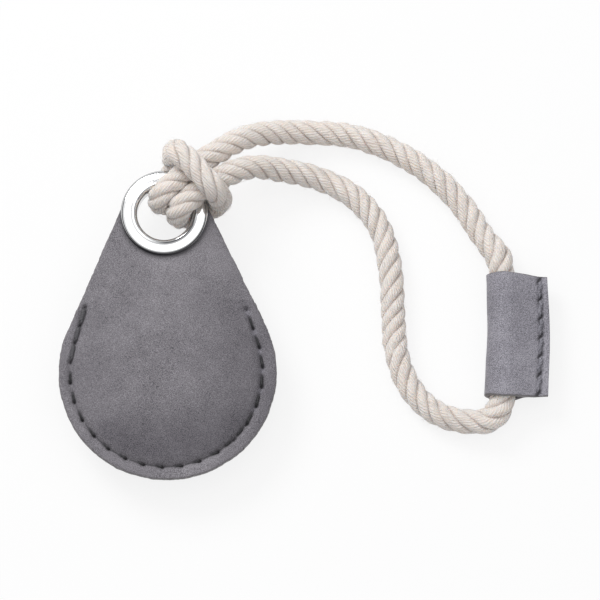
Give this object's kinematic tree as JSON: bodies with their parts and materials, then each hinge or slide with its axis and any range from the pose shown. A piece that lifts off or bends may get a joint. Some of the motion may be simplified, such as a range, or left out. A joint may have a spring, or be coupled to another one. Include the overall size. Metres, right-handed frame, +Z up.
{
  "type": "tracker tag holder",
  "caption": "Teardrop leather pocket for a round tracker tag, with a metal eyelet and a cotton rope loop hitched through it, its joint under a sewn leather sleeve.",
  "frame": {"origin": "under the middle of the leather holder and its eyelet, on the surface that the back of the pocket lies on", "axes": "+Z up, out of the front of the pocket; +Y from the pocket towards the eyelet; +X to the side that the rope loop lies on"},
  "size_m": [0.1003, 0.0764, 0.0189],
  "materials": {
    "grey_leather": "waxed grey leather with a fine nap",
    "dark_thread": "waxed dark grey sewing thread",
    "polished_steel": "polished nickel",
    "cotton_rope": "undyed twisted cotton",
    "white_plastic": "glossy white",
    "circuit_board": "green board lacquer",
    "plain_steel": "plain nickel-plated steel",
    "copper_wire": "enamelled copper wire",
    "contact_brass": "plated spring brass",
    "seal_rubber": "soft black",
    "door_steel": "brushed steel"
  },
  "bodies": {
    "holder": {"front_panel": "grey_leather", "back_panel": "grey_leather", "seam_thread": "dark_thread", "eyelet": "polished_steel", "eyelet_washer": "polished_steel"},
    "tag": {"tag_cover": "white_plastic", "tag_inner_frame": "white_plastic", "tag_circuit_board": "circuit_board", "tag_sounder_magnet": "plain_steel", "tag_sounder_coil": "copper_wire", "tag_battery_contacts": "contact_brass", "tag_battery": "plain_steel", "tag_door_seal": "seal_rubber"},
    "tag_door": {"tag_battery_door": "door_steel"},
    "hitch": {"rope_hitch": "cotton_rope"},
    "loop": {"rope_upper_run": "cotton_rope", "rope_lower_run": "cotton_rope", "rope_sleeve": "grey_leather", "sleeve_thread": "dark_thread"}
  },
  "joints": [
    {"name": "tag_exit", "type": "hinge", "parent": "holder", "child": "tag", "pos_m": [0, -0.01013, -0.0321], "axis": [-1, 0, 0], "range_deg": [0, 55], "deforming": ["back_panel"]},
    {"name": "door_twist", "type": "hinge", "parent": "tag", "child": "tag_door", "pos_m": [0, -0.01013, 0.0019], "axis": [0, 0, -1], "range_deg": [0, 18]},
    {"name": "hitch_turn", "type": "hinge", "parent": "holder", "child": "hitch", "pos_m": [0, 0.02347, 0.0064], "axis": [0, 0, 1], "range_deg": [0, 97]},
    {"name": "loop_swing", "type": "hinge", "parent": "hitch", "child": "loop", "pos_m": [0.01388, 0.03471, 0.01023], "axis": [0.6293, -0.7771, 0], "range_deg": [-75, 90]}
  ]
}
